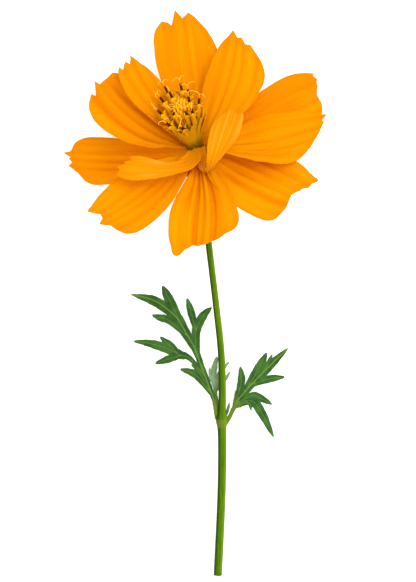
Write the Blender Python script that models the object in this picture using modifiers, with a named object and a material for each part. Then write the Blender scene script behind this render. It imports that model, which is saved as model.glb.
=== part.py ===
"""Cosmos flower: one cut stem with its semi-double orange head and two leaves, laid down.

Lengths in the tables are millimetres and angles are degrees; meshes are made in metres.
+Y points from the cut end to the flower, +Z points up, and the floor is z = 0.
The head has its own polar frame: angle around the axis, radius from it, height along it.
"""

import math

import bmesh
import bpy
from mathutils import Vector
from mathutils.geometry import delaunay_2d_cdt

MM = 0.001
OBJECT_NAME = "cosmos_flower"

# Head: centre of the ring where the rays are attached, and the way the disc faces.
HEAD_CENTRE = Vector((0.3, 32.9, 12.0))
HEAD_AXIS = Vector((-0.294, 0.767, 0.571)).normalized()
HEAD_RIGHT = HEAD_AXIS.cross(Vector((0, 0, 1))).normalized()
HEAD_BACK = HEAD_AXIS.cross(HEAD_RIGHT)

# Rays.
RAY_RADIUS = 2.3
PETAL_THICKNESS = 0.25
PETAL_ROWS = 8
PETAL_COLUMNS = 10
PETAL_OUTLINE = ((0, 0.13), (0.12, 0.20), (0.3, 0.51), (0.5, 0.85), (0.7, 1.0), (0.86, 0.95), (1, 0.82))
PETAL_CORNER = 0.1
# angle and height of the claw, three more points of the midrib measured from the head centre,
# the way the tip faces, half widths right and left, trough angle at base and tip, and the
# toothed end as (place across, reach) pairs from the left margin to the right one.
PETALS = {
    "petal_top": dict(
        angle=82, height=-0.7, rib=((0.7, 7.3, -3.0), (-1.9, 18.8, -8.8), (-3.5, 32.4, -10.0)),
        face=(0.05, -0.25, 1), half_width=(7.5, 7.5), trough=(50, 12),
        tip=((-1, 0.94), (-0.85, 0.94), (-0.72, 0.96), (-0.5, 0.95), (-0.38, 0.93), (-0.22, 1.02),
             (0.02, 0.965), (0.25, 0.995), (0.45, 0.965), (0.7, 0.89), (1, 0.76))),
    "petal_upper_right": dict(
        angle=50, height=0.6, rib=((4.6, 6.0, 2.0), (9.2, 16.0, -2.5), (9.6, 27.8, -5.5)),
        face=(-0.15, -0.25, 1), half_width=(8.6, 5.3), trough=(50, 20),
        tip=((-1, 0.87), (-0.75, 0.925), (-0.5, 0.97), (-0.3, 1.0), (0.02, 0.945), (0.15, 0.95),
             (0.3, 0.90), (0.48, 0.895), (0.7, 0.825), (1, 0.74))),
    "petal_right_rear": dict(
        angle=16, height=-0.9, rib=((9.0, 3.2, -4.0), (20.6, 11.2, -8.5), (28.6, 14.4, -11.3)),
        face=(0.1, 0.1, 1), half_width=(6.8, 6.0), trough=(40, 10),
        tip=((-1, 0.92), (-0.8, 1.015), (-0.72, 0.995), (-0.5, 1.02), (-0.42, 1.01), (-0.2, 1.005),
             (0.1, 0.97), (0.6, 0.96), (1, 0.92))),
    "petal_right_front": dict(
        angle=-6, height=0.0, rib=((8.8, 0.3, 6.0), (20.2, 0.6, 3.0), (30.1, 5.6, 1.0)),
        face=(-0.05, 0.25, 1), half_width=(8.3, 6.6), trough=(50, 22),
        tip=((-1, 0.94), (-0.8, 0.98), (-0.6, 1.03), (-0.38, 0.975), (-0.25, 0.985), (0.1, 0.93),
             (0.45, 0.84), (1, 0.68))),
    "petal_lower_right": dict(
        angle=-42, height=-0.4, rib=((7.3, -3.4, 5.0), (16.6, -9.0, 9.0), (24.4, -11.9, 8.0)),
        face=(0.25, 0.35, 1), half_width=(10.0, 8.0), trough=(40, 12),
        tip=((-1, 1.11), (-0.92, 1.12), (-0.7, 1.025), (-0.54, 1.01), (-0.34, 0.95), (0, 0.88),
             (0.4, 0.88), (1, 0.83))),
    "petal_bottom": dict(
        angle=-105, height=-0.2, rib=((2.3, -6.4, 10.0), (2.5, -15.5, 15.0), (1.2, -23.7, 13.0)),
        face=(0, -0.2, 1), half_width=(8.2, 8.3), trough=(50, 16),
        right_outline=((0, 0.1), (0.12, 0.14), (0.3, 0.36), (0.5, 0.72), (0.7, 0.97), (0.86, 0.98), (1, 0.84)),
        tip=((-1, 0.78), (-0.85, 0.785), (-0.6, 0.82), (-0.45, 0.86), (-0.1, 0.925), (0.15, 0.955),
             (0.3, 0.955), (0.5, 0.99), (0.68, 1.05), (0.86, 1.07), (1, 1.08))),
    "petal_lower_left": dict(
        angle=-148, height=-0.75, rib=((-5.4, -4.2, 6.0), (-13.2, -13.2, 11.0), (-21.9, -16.9, 10.0)),
        face=(-0.2, 0.3, 1), half_width=(6.5, 8.3), trough=(45, 14),
        right_outline=((0, 0.2), (0.12, 0.42), (0.3, 0.8), (0.5, 1.05), (0.7, 1.02), (0.86, 0.88), (1, 0.7)),
        tip=((-1, 0.86), (-0.8, 0.875), (-0.3, 0.93), (-0.1, 1.0), (0.05, 0.96), (0.3, 0.96),
             (0.7, 1.06), (0.9, 1.02), (1, 1.0))),
    "petal_left": dict(
        angle=162, height=-0.6, rib=((-7.1, -2.4, -3.0), (-20.0, -3.0, -8.4), (-30.3, -1.7, -11.3)),
        face=(-0.1, 0.1, 1), half_width=(5.6, 6.2), trough=(45, 10),
        tip=((-1, 0.80), (-0.5, 0.90), (-0.25, 0.98), (-0.12, 0.95), (0.05, 0.985), (0.12, 0.97), (0.3, 1.03),
             (0.42, 0.975), (0.7, 0.955), (1, 0.93))),
    "petal_upper_left": dict(
        angle=143, height=0.3, rib=((-6.4, 1.8, 2.0), (-15.8, 5.5, 0.0), (-22.9, 15.6, -2.0)),
        face=(0.1, 0.1, 1), half_width=(6.9, 7.0), trough=(55, 22),
        tip=((-1, 0.86), (-0.7, 0.915), (-0.4, 0.955), (-0.3, 0.93), (-0.05, 1.01), (0.05, 0.975),
             (0.4, 0.98), (0.7, 0.985), (1, 0.94))),
    "petal_upper_left_front": dict(
        angle=112, height=0.3, rib=((-4.3, 5.4, 1.5), (-10.5, 11.5, 1.4), (-15.1, 20.8, -0.5)),
        face=(0.45, -0.1, 1), half_width=(3.4, 5.8), trough=(60, 28),
        tip=((-1, 0.93), (-0.75, 0.96), (-0.6, 0.93), (-0.3, 0.99), (-0.15, 0.955), (0.1, 1.02),
             (0.4, 0.965), (0.7, 0.89), (1, 0.78))),
    "petal_inner_left": dict(
        angle=-116, height=1.4, rib=((2.0, -5.8, 8.0), (-7.4, -5.6, 14.0), (-17.5, -4.2, 12.0)),
        face=(-0.1, 0.3, 1), half_width=(2.8, 3.1), trough=(70, -16),
        outline=((0, 0.25), (0.12, 0.45), (0.25, 0.62), (0.4, 0.72), (0.55, 0.7), (0.7, 0.8), (0.86, 1.02),
                 (1, 0.98)),
        right_outline=((0, 0.3), (0.12, 0.42), (0.3, 0.5), (0.5, 0.56), (0.7, 0.78), (0.86, 1.02), (1, 0.98)),
        tip=((-1, 0.98), (-0.7, 1.0), (-0.35, 0.98), (-0.15, 1.005), (0.1, 0.96), (0.35, 0.95),
             (0.5, 0.91), (0.85, 0.92), (1, 0.88))),
    "petal_inner_right": dict(
        angle=-60, height=1.2, rib=((1.8, -8.8, 12.0), (3.0, -7.2, 16.5), (8.0, 7.5, 15.0)),
        face=(0, -0.1, -1), lean=(-0.3, 1.4, 0), half_width=(3.3, 3.3), trough=(30, 24),
        outline=((0, 0.25), (0.12, 0.28), (0.3, 0.24), (0.42, 0.2), (0.5, 0.18), (0.6, 0.42), (0.7, 0.7),
                 (0.8, 0.9), (0.9, 1.0), (1, 1.0)),
        tip=((-1, 0.98), (-0.7, 1.01), (-0.35, 0.995), (0, 1.015), (0.4, 0.985), (0.75, 0.95), (1, 0.93))),
}

# Involucre: pressed inner phyllaries and narrow green outer bracts, as (angle, tip height).
PHYLLARY_BASE = (2.1, -1.7)
PHYLLARY_TIP_RADIUS = 8.0
PHYLLARY_HALF_WIDTH = 1.5
PHYLLARIES = ((22, -3.4), (67, 0.0), (112, 0.8), (157, -2.6), (-158, -2.4), (-113, -2.6), (-68, -3.8), (-23, -3.6))
BRACT_BASE = (1.9, -2.6)
BRACT_TIP_RADIUS = 12.0
BRACT_HALF_WIDTH = 0.6
BRACTS = ((0, -6.5), (45, -4.5), (90, -2.5), (135, -2.5), (180, -5.0), (-137, -3.6), (-95, -6.0), (-45, -8.5))
BRACT_THICKNESS = 0.3
PHYLLARY_OUTLINE = ((0, 0.3), (0.3, 0.75), (0.6, 1.0), (0.85, 0.8), (1, 0.3))
BRACT_OUTLINE = ((0, 0.7), (0.3, 0.9), (0.6, 1.0), (0.85, 0.7), (1, 0.2))

# Disc: receptacle profile as (radius, height), then florets as (angle, top radius, top height).
RECEPTACLE_PROFILE = ((0, 1.1), (0.9, 1.0), (1.35, 0.7), (1.55, 0.2), (1.5, -1.6), (1.3, -2.6), (1.0, -3.4), (0, -3.4))
RECEPTACLE_SIDES = 20
FLORET_BASE_HEIGHT = 1.45
FLORET_PROFILE = ((0, 0.27), (0.3, 0.24), (0.45, 0.32), (0.72, 0.52), (0.78, 0.36), (0.95, 0.34), (1, 0.12))
OUTER_FLORET_BASE = 1.55
OUTER_FLORETS = (
    (-144, 5.8, 12.0), (-105, 6.1, 11.0), (-52, 3.9, 13.0), (-8, 5.0, 13.5), (38, 4.0, 15.0),
    (72, 6.6, 15.0), (104, 7.1, 15.5), (134, 5.4, 15.0), (168, 5.6, 13.5))
INNER_FLORET_BASE = 0.8
INNER_FLORETS = ((112, 3.2, 16.0), (-165, 2.4, 13.0), (-72, 2.2, 12.5), (5, 2.7, 14.5))
BUD_DOME = (60, 0.8, 13.5)
BUD_DOME_PROFILE = ((0, 0.35), (0.3, 0.35), (0.6, 0.7), (0.8, 1.15), (0.93, 1.05), (1, 0.4))

# Stem: centre line from the cut end up to the receptacle, and radius along it.
STEM_PATH = (
    (5.3, -65.7, 0.96), (6.1, -48.0, 3.0), (6.3, -36.3, 4.3), (6.2, -29.3, 4.9), (6.3, -22.0, 5.6),
    (6.0, -13.1, 6.4), (4.9, -3.0, 7.3), (3.9, 5.3, 8.0), (3.0, 13.0, 8.5), (2.3, 21.0, 8.9),
    (1.75, 26.5, 9.2))
STEM_RADII = (
    (0, 0.96), (0.33, 0.98), (0.362, 1.06), (0.38, 1.35), (0.396, 1.08), (0.415, 0.86), (0.8, 0.74), (1, 0.85))
STEM_POINTS = 34
NECK_HEIGHT = -3.75

# Leaves: flat outlines, bent as they leave the node. A branch is (path, widths, side branches),
# and a side branch is (place along its parent, the rest of its path, widths, side branches).
LEAF_THICKNESS = 0.45
LOBE = ((0, 0.35), (0.35, 0.8), (0.6, 1.1), (0.85, 0.6), (1, 0))
NARROW_LOBE = ((0, 0.3), (0.4, 0.6), (0.65, 0.75), (0.85, 0.45), (1, 0))
RACHIS = ((0, 0.5), (0.3, 0.45), (0.7, 0.5), (0.85, 1.05), (0.94, 0.7), (1, 0))
SMALL_LOBE = ((0, 0.3), (0.5, 0.45), (1, 0))

LEFT_LEAF = (
    ((4.2, -28.4), (4.0, -24.5), (2.9, -20.4), (0.9, -16.4), (-0.7, -11.9), (-2.8, -7.8),
     (-4.9, -5.3), (-9.7, -1.8), (-15.0, -0.2)),
    RACHIS,
    ((0.25, ((-0.3, -18.9), (-3.5, -17.5)), NARROW_LOBE, ()),
     (0.36, ((-3.4, -14.4), (-8.6, -12.4), (-14.4, -11.1)), LOBE, (
         (0.28, ((-6.2, -16.1), (-9.3, -16.3)), NARROW_LOBE, ()),
         (0.32, ((-6.3, -11.6), (-8.2, -10.0)), NARROW_LOBE, ()))),
     (0.56, ((-5.4, -7.0), (-10.0, -5.1)), NARROW_LOBE, ()),
     (0.70, ((-5.6, -2.4), (-7.6, 1.8)), NARROW_LOBE, ()),
     (0.42, ((0.9, -9.0), (2.2, -5.8), (3.9, -3.2)), LOBE, (
         (0.20, ((-1.0, -6.0), (-1.9, -1.1)), NARROW_LOBE, ()),))))
RIGHT_LEAF = (
    ((8.4, -28.8), (9.2, -26.2), (10.5, -23.8), (13.2, -20.6), (15.5, -18.4), (18.5, -15.6), (21.7, -12.7)),
    RACHIS,
    ((0.36, ((10.6, -19.7), (10.5, -16.9)), NARROW_LOBE, ()),
     (0.56, ((15.3, -16.4), (16.6, -13.6)), NARROW_LOBE, ()),
     (0.58, ((17.6, -19.5), (20.8, -19.4)), NARROW_LOBE, ()),
     (0.30, ((13.4, -25.0), (15.8, -27.6), (17.5, -30.5), (18.3, -33.5)), NARROW_LOBE, (
         (0.18, ((15.4, -23.6), (17.8, -25.6)), NARROW_LOBE, ()),))))
AXILLARY_LEAF = (
    ((5.3, -27.4), (4.9, -22.4), (5.0, -18.5), (5.2, -14.5)),
    NARROW_LOBE,
    ((0.50, ((4.0, -18.9), (3.3, -17.0)), SMALL_LOBE, ()),
     (0.55, ((6.4, -17.4), (7.1, -14.3)), SMALL_LOBE, ()),
     (0.38, ((6.8, -20.2), (8.1, -18.0)), SMALL_LOBE, ())))
SHOOT_TIP = (((8.1, -27.0), (8.5, -24.5), (9.2, -22.2)), ((0, 0.2), (0.5, 0.35), (1, 0)), ())
# Start height, slope and curvature of each leaf away from its foot.
LEAF_BENDS = {
    "leaf_left": (LEFT_LEAF, 4.9, 0.16, -0.006),
    "leaf_right": (RIGHT_LEAF, 4.9, 0.10, -0.010),
    "axillary_leaf": (AXILLARY_LEAF, 3.1, 0.05, 0.0),
    "axillary_shoot_tip": (SHOOT_TIP, 6.4, 0.05, 0.0),
}
AXILLARY_BUD = ((7.75, -27.4, 5.0), (7.95, -26.0, 5.3), (8.0, -24.6, 5.6))
AXILLARY_BUD_PROFILE = ((0, 0.2), (0.3, 0.38), (0.7, 0.38), (1, 0.1))


def clear_scene():
    for obj in list(bpy.data.objects):
        bpy.data.objects.remove(obj)


def new_collection():
    collection = bpy.data.collections.new(OBJECT_NAME)
    bpy.context.scene.collection.children.link(collection)
    return collection


def make_material(name, colour, roughness):
    material = bpy.data.materials.new(name)
    material.use_nodes = True
    shader = material.node_tree.nodes["Principled BSDF"]
    shader.inputs["Base Color"].default_value = (*colour, 1)
    shader.inputs["Roughness"].default_value = roughness
    shader.inputs["Metallic"].default_value = 0.0
    return material


def on_head(angle, radius, height):
    """Point of the head's polar frame, in millimetres of the object's frame."""
    turn = math.radians(angle)
    outward = HEAD_RIGHT * math.cos(turn) + HEAD_BACK * math.sin(turn)
    return HEAD_CENTRE + outward * radius + HEAD_AXIS * height


def profile_value(profile, place):
    """Smooth value at a place along a list of (place, value) pairs."""
    last = len(profile) - 1
    i = 0
    while i < last - 1 and place > profile[i + 1][0]:
        i += 1
    x0, y0 = profile[i]
    x1, y1 = profile[i + 1]
    t = min(max((place - x0) / (x1 - x0), 0), 1)
    before = profile[max(i - 1, 0)]
    after = profile[min(i + 2, last)]
    slope0 = (y1 - before[1]) / (x1 - before[0])
    slope1 = (after[1] - y0) / (after[0] - x0)
    span = x1 - x0
    rise = (2 * t**3 - 3 * t**2 + 1) * y0 + (3 * t**2 - 2 * t**3) * y1
    return rise + span * ((t**3 - 2 * t**2 + t) * slope0 + (t**3 - t**2) * slope1)


def straight_value(profile, place):
    """Value on the straight lines between (place, value) pairs."""
    for (x0, y0), (x1, y1) in zip(profile, profile[1:]):
        if place <= x1:
            return y0 + (y1 - y0) * (place - x0) / (x1 - x0)
    return profile[-1][1]


def path_point(points, place):
    """Point of a smooth path through the given points; place runs from 0 to 1."""
    spans = len(points) - 1
    i = min(int(place * spans), spans - 1)
    t = place * spans - i
    a = Vector(points[i])
    b = Vector(points[i + 1])
    before = Vector(points[i - 1]) if i else 2 * a - b
    after = Vector(points[i + 2]) if i + 2 <= spans else 2 * b - a
    slope_a = (b - before) / 2
    slope_b = (after - a) / 2
    bend = (t**3 - 2 * t**2 + t) * slope_a + (t**3 - t**2) * slope_b
    return (2 * t**3 - 3 * t**2 + 1) * a + (3 * t**2 - 2 * t**3) * b + bend


def bezier(points, t):
    a, b, c, d = points
    return (1 - t)**3 * a + 3 * t * (1 - t)**2 * b + 3 * t * t * (1 - t) * c + t**3 * d


def bezier_slope(points, t):
    a, b, c, d = points
    return 3 * (1 - t)**2 * (b - a) + 6 * t * (1 - t) * (c - b) + 3 * t * t * (d - c)


def blade_point(blade, across, along):
    """Point of a petal-like blade: across runs from -1 to 1, along from the foot, 0, to the end, 1."""
    past_shoulder = max(abs(across) - 0.75, 0) / 0.25
    rounding = blade.get("corner", 0) * (1 - math.sqrt(max(1 - past_shoulder * past_shoulder, 0)))
    reach = along * (straight_value(blade["tip"], across) - rounding)
    middle = bezier(blade["rib"], reach)
    tangent = bezier_slope(blade["rib"], reach).normalized()
    eased = min(max(reach, 0), 1)
    eased = eased * eased * (3 - 2 * eased)
    facing = HEAD_AXIS.lerp(blade["face"], eased)
    facing += Vector(blade.get("lean", (0, 0, 0))) * (4 * reach * (1 - reach))
    side = tangent.cross(facing).normalized()
    normal = side.cross(tangent)
    right, left = blade["half_width"]
    if across > 0:
        half_width = profile_value(blade.get("right_outline", blade["outline"]), reach) * right
    else:
        half_width = profile_value(blade["outline"], reach) * left
    base_trough, tip_trough = blade["trough"]
    trough = math.radians(base_trough + (tip_trough - base_trough) * reach)
    radius = half_width / trough
    return middle + side * radius * math.sin(trough * across) + normal * radius * (1 - math.cos(trough * across))


def add_object(name, data, material, collection):
    obj = bpy.data.objects.new(name, data)
    data.materials.append(material)
    collection.objects.link(obj)
    return obj


def make_blade(name, blade, columns, rows, thickness, material, collection):
    """A thin curved blade: a flat grid is bent to the blade's surface, then given its thickness."""
    bm = bmesh.new()
    bmesh.ops.create_grid(bm, x_segments=columns, y_segments=rows, size=1)
    for vert in bm.verts:
        vert.co = blade_point(blade, vert.co.x, (vert.co.y + 1) / 2) * MM
    mesh = bpy.data.meshes.new(name)
    bm.to_mesh(mesh)
    bm.free()
    mesh.shade_smooth()
    obj = add_object(name, mesh, material, collection)
    solidify = obj.modifiers.new("thickness", "SOLIDIFY")
    solidify.thickness = thickness * MM
    solidify.offset = 0
    return obj


def make_tube(name, path, radii, material, collection, bevel_resolution=1):
    """A round tube along the path, with its radius given for each point."""
    curve = bpy.data.curves.new(name, "CURVE")
    curve.dimensions = "3D"
    curve.bevel_depth = MM
    curve.bevel_resolution = bevel_resolution
    curve.use_fill_caps = True
    spline = curve.splines.new("POLY")
    spline.points.add(len(path) - 1)
    for place, point, radius in zip(spline.points, path, radii):
        place.co = (*(point * MM), 1)
        place.radius = radius
    return add_object(name, curve, material, collection)


def make_petals(material, collection):
    for name, petal in PETALS.items():
        foot = on_head(petal["angle"], RAY_RADIUS, petal["height"])
        blade = dict(petal, outline=petal.get("outline", PETAL_OUTLINE), corner=PETAL_CORNER)
        blade["face"] = Vector(petal["face"]).normalized()
        blade["rib"] = [foot] + [HEAD_CENTRE + Vector(point) for point in petal["rib"]]
        make_blade(name, blade, PETAL_COLUMNS, PETAL_ROWS, PETAL_THICKNESS, material, collection)


def make_involucre(phyllary_material, bract_material, collection):
    kinds = (
        ("phyllary", PHYLLARIES, PHYLLARY_BASE, PHYLLARY_TIP_RADIUS, PHYLLARY_HALF_WIDTH,
         PHYLLARY_OUTLINE, phyllary_material, 4),
        ("bract", BRACTS, BRACT_BASE, BRACT_TIP_RADIUS, BRACT_HALF_WIDTH, BRACT_OUTLINE, bract_material, 2))
    for kind, leaves, (foot_radius, foot_height), tip_radius, half_width, outline, material, columns in kinds:
        for number, (angle, tip_height) in enumerate(leaves, 1):
            rib = []
            for share in (0, 1 / 3, 2 / 3, 1):
                radius = foot_radius + (tip_radius - foot_radius) * share
                rib.append(on_head(angle, radius, foot_height + (tip_height - foot_height) * share**1.3))
            blade = dict(rib=rib, face=HEAD_AXIS, half_width=(half_width, half_width), trough=(20, 20),
                         outline=outline, tip=((-1, 1), (1, 1)))
            make_blade(f"{kind}_{number:02d}", blade, columns, 6, BRACT_THICKNESS, material, collection)


def make_receptacle(material, collection):
    """A turned cone of tissue: the profile runs down its outer side and is spun about its own axis."""
    mesh = bpy.data.meshes.new("receptacle")
    points = [(radius * MM, 0, height * MM) for radius, height in RECEPTACLE_PROFILE]
    mesh.from_pydata(points, [(i, i + 1) for i in range(len(points) - 1)], [])
    obj = add_object("receptacle", mesh, material, collection)
    screw = obj.modifiers.new("turn", "SCREW")
    screw.steps = RECEPTACLE_SIDES
    screw.render_steps = RECEPTACLE_SIDES
    screw.use_merge_vertices = True
    screw.merge_threshold = 0.00001
    obj.rotation_mode = "QUATERNION"
    obj.rotation_quaternion = HEAD_AXIS.to_track_quat("Z", "Y")
    obj.location = HEAD_CENTRE * MM


def make_floret(name, foot_radius, top, profile, material, collection):
    angle, top_radius, top_height = top
    path = []
    for share, _ in profile:
        radius = foot_radius + (top_radius - foot_radius) * share**1.4
        path.append(on_head(angle, radius, FLORET_BASE_HEIGHT + (top_height - FLORET_BASE_HEIGHT) * share))
    make_tube(name, path, [radius for _, radius in profile], material, collection)


def make_disc(material, collection):
    for number, top in enumerate(OUTER_FLORETS, 1):
        make_floret(f"disc_floret_{number:02d}", OUTER_FLORET_BASE, top, FLORET_PROFILE, material, collection)
    for number, top in enumerate(INNER_FLORETS, len(OUTER_FLORETS) + 1):
        make_floret(f"disc_floret_{number:02d}", INNER_FLORET_BASE, top, FLORET_PROFILE, material, collection)
    make_floret("disc_buds", 0.0, BUD_DOME, BUD_DOME_PROFILE, material, collection)


def make_stem(material, collection):
    """One stalk with a swollen node; its last points follow the head's axis into the receptacle."""
    neck = on_head(0, 0, NECK_HEIGHT)
    path_points = [Vector(point) for point in STEM_PATH] + [neck]
    path = []
    radii = []
    for i in range(STEM_POINTS):
        place = i / (STEM_POINTS - 1)
        path.append(path_point(path_points, place))
        radii.append(profile_value(STEM_RADII, (path[-1].y - path[0].y) / (neck.y - path[0].y)))
    make_tube("stem", path, radii, material, collection, bevel_resolution=2)


def branch_outlines(branch, points_per_span=5):
    """Closed outlines of a branch and of its side branches, each rooted on its parent's centre line."""
    path, widths, side_branches = branch
    count = points_per_span * (len(path) - 1)
    left = []
    right = []
    for i in range(count + 1):
        place = i / count
        here = path_point(path, place)
        ahead = path_point(path, min(place + 0.01, 1)) - path_point(path, max(place - 0.01, 0))
        across = Vector((-ahead.y, ahead.x)).normalized() * profile_value(widths, place)
        left.append(here + across)
        right.append(here - across)
    right[-1:] = []
    outlines = [left + right[::-1]]
    for place, side_path, side_widths, more in side_branches:
        root = path_point(path, place)
        outlines += branch_outlines(((root, *side_path), side_widths, more), points_per_span)
    return outlines


def make_leaf(name, branch, lift, slope, bend, material, collection):
    """A lobed leaf: the union of its branches' outlines, bent away from its foot and given its thickness."""
    points = []
    outlines = []
    for outline in branch_outlines(branch):
        outlines.append(list(range(len(points), len(points) + len(outline))))
        points += [Vector((point[0], point[1])) for point in outline]
    points, _, faces, *_ = delaunay_2d_cdt(points, [], outlines, 1, 0.001)
    foot = Vector(branch[0][0])
    bm = bmesh.new()
    for point in points:
        distance = (point - foot).length
        height = lift + slope * distance + bend * distance * distance
        bm.verts.new(Vector((*point, height)) * MM)
    bm.verts.ensure_lookup_table()
    for face in faces:
        bm.faces.new([bm.verts[i] for i in face])
    mesh = bpy.data.meshes.new(name)
    bm.to_mesh(mesh)
    bm.free()
    obj = add_object(name, mesh, material, collection)
    solidify = obj.modifiers.new("thickness", "SOLIDIFY")
    solidify.thickness = LEAF_THICKNESS * MM
    solidify.offset = 0


def main():
    clear_scene()
    collection = new_collection()
    orange = make_material("ray_orange", (1.0, 0.32, 0.0), 0.55)
    yellow = make_material("disc_yellow", (0.95, 0.5, 0.02), 0.6)
    green = make_material("stem_green", (0.16, 0.27, 0.03), 0.5)
    leaf_green = make_material("leaf_green", (0.06, 0.2, 0.05), 0.6)
    amber = make_material("phyllary_amber", (0.62, 0.3, 0.05), 0.6)
    make_petals(orange, collection)
    make_involucre(amber, leaf_green, collection)
    make_receptacle(green, collection)
    make_disc(yellow, collection)
    make_stem(green, collection)
    for name, (branch, lift, slope, bend) in LEAF_BENDS.items():
        make_leaf(name, branch, lift, slope, bend, leaf_green, collection)
    bud_radii = [radius for _, radius in AXILLARY_BUD_PROFILE]
    bud_path = [path_point(AXILLARY_BUD, place) for place, _ in AXILLARY_BUD_PROFILE]
    make_tube("axillary_bud", bud_path, bud_radii, green, collection)


main()
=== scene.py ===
"""Cosmos flower, cut and laid down: a semi-double orange head on its stalk with two divided leaves."""

import math
import random

import bmesh
import bpy
from mathutils import Matrix, Vector, noise
from mathutils.geometry import delaunay_2d_cdt


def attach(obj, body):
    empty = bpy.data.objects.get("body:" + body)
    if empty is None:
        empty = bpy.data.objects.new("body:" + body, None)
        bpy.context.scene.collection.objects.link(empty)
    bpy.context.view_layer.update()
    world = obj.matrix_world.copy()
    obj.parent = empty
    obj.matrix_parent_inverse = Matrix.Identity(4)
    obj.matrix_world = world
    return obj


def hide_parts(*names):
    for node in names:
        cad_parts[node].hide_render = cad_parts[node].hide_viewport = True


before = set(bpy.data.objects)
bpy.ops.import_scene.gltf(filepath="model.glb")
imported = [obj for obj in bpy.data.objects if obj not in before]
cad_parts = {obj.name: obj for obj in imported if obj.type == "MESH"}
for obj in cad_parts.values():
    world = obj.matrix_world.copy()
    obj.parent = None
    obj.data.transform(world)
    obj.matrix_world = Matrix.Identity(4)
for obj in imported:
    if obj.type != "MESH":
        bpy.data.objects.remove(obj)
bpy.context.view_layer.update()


# Stalk. One green stalk, slightly ribbed along its length, that thickens into a node where the
# leaves stand and runs up into the head. It was cut square across, so its end shows a paler pith.
# The tables here and below are in millimetres, and the meshes are in metres.
MM = 0.001
HEAD_CENTRE = Vector((0.3, 32.9, 12.0))
HEAD_AXIS = Vector((-0.294, 0.767, 0.571)).normalized()
NECK_HEIGHT = -3.75
STALK_PATH = (
    (5.3, -65.7, 0.96), (6.1, -48.0, 3.0), (6.3, -36.3, 4.3), (6.2, -29.3, 4.9), (6.3, -22.0, 5.6),
    (6.0, -13.1, 6.4), (4.9, -3.0, 7.3), (3.9, 5.3, 8.0), (3.0, 13.0, 8.5), (2.3, 21.0, 8.9),
    (1.75, 26.5, 9.2))
STALK_RADII = (
    (0, 0.94), (0.33, 0.96), (0.362, 1.04), (0.374, 1.3), (0.384, 1.32), (0.394, 1.08), (0.415, 0.86),
    (0.8, 0.74), (1, 0.85))
STALK_RINGS = 170
STALK_SIDES = 32
STALK_RIDGES = 8
STALK_RIDGE_HEIGHT = 0.03
NODE_DEPTH = 30.2
PITH_RIM = 0.16
PITH_DEPTH = 0.05


def smooth_step(low, high, value):
    share = min(max((value - low) / (high - low), 0), 1)
    return share * share * (3 - 2 * share)


def profile_value(profile, place):
    """Smooth value at a place along a list of (place, value) pairs."""
    last = len(profile) - 1
    i = 0
    while i < last - 1 and place > profile[i + 1][0]:
        i += 1
    x0, y0 = profile[i]
    x1, y1 = profile[i + 1]
    t = min(max((place - x0) / (x1 - x0), 0), 1)
    before = profile[max(i - 1, 0)]
    after = profile[min(i + 2, last)]
    slope0 = (y1 - before[1]) / (x1 - before[0])
    slope1 = (after[1] - y0) / (after[0] - x0)
    rise = (2 * t**3 - 3 * t**2 + 1) * y0 + (3 * t**2 - 2 * t**3) * y1
    return rise + (x1 - x0) * ((t**3 - 2 * t**2 + t) * slope0 + (t**3 - t**2) * slope1)


def path_point(points, place):
    """Point of a smooth path through the given points; place runs from 0 to 1."""
    spans = len(points) - 1
    i = min(int(place * spans), spans - 1)
    t = place * spans - i
    a = Vector(points[i])
    b = Vector(points[i + 1])
    before = Vector(points[i - 1]) if i else 2 * a - b
    after = Vector(points[i + 2]) if i + 2 <= spans else 2 * b - a
    bend = (t**3 - 2 * t**2 + t) * (b - before) / 2 + (t**3 - t**2) * (after - a) / 2
    return (2 * t**3 - 3 * t**2 + 1) * a + (3 * t**2 - 2 * t**3) * b + bend


def vert_layer(bm, name):
    """The layer of that name, which keeps one number for each vert; it is made if it isn't there."""
    return bm.verts.layers.float.get(name) or bm.verts.layers.float.new(name)


def sweep(bm, centres, radii, sides, points=0, reaches=None, ridge=0.0):
    """Skins a tube: a circle of verts is placed at the first centre, extruded from centre to centre,
    and closed at both ends. A ring may reach out in points, or be ribbed by the ridge height.
    Each vert keeps its turn about the tube, the share of the rings that it lies at, and how far it
    faces to the right."""
    turn_layer = vert_layer(bm, "turn")
    along_layer = vert_layer(bm, "along")
    right_layer = vert_layer(bm, "right")
    ring = bmesh.ops.create_circle(bm, segments=sides, radius=1)["verts"]
    for vert in ring:
        vert[turn_layer] = math.atan2(vert.co.y, vert.co.x)
    edges = list(dict.fromkeys(edge for vert in ring for edge in vert.link_edges))
    first_edges = edges
    ahead = (centres[1] - centres[0]).normalized()
    across = ahead.orthogonal()
    for i, (centre, radius) in enumerate(zip(centres, radii)):
        step = (centres[min(i + 1, len(centres) - 1)] - centres[max(i - 1, 0)]).normalized()
        # Rings that fold back inside a flare keep the tube's direction.
        ahead = -step if step.dot(ahead) < 0 else step
        across = (across - ahead * across.dot(ahead)).normalized()
        up = ahead.cross(across)
        if i:
            grown = bmesh.ops.extrude_edge_only(bm, edges=edges)["geom"]
            ring = [item for item in grown if isinstance(item, bmesh.types.BMVert)]
            edges = [item for item in grown if isinstance(item, bmesh.types.BMEdge) and item.is_boundary]
        for vert in ring:
            turn = vert[turn_layer]
            reach = radius * (1 + ridge * math.cos(points * turn))
            if reaches:
                reach += reaches[i] * max(math.cos(points * turn), 0)
            outward = across * math.cos(turn) + up * math.sin(turn)
            vert.co = (centre + outward * reach) * MM
            vert[along_layer] = i / (len(centres) - 1)
            vert[right_layer] = outward.x
    bmesh.ops.holes_fill(bm, edges=first_edges + edges, sides=0)


def put_in_scene(name, data):
    """An object that holds the given mesh, lamp or lens, linked into the scene."""
    thing = bpy.data.objects.new(name, data)
    bpy.context.scene.collection.objects.link(thing)
    return thing


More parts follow.
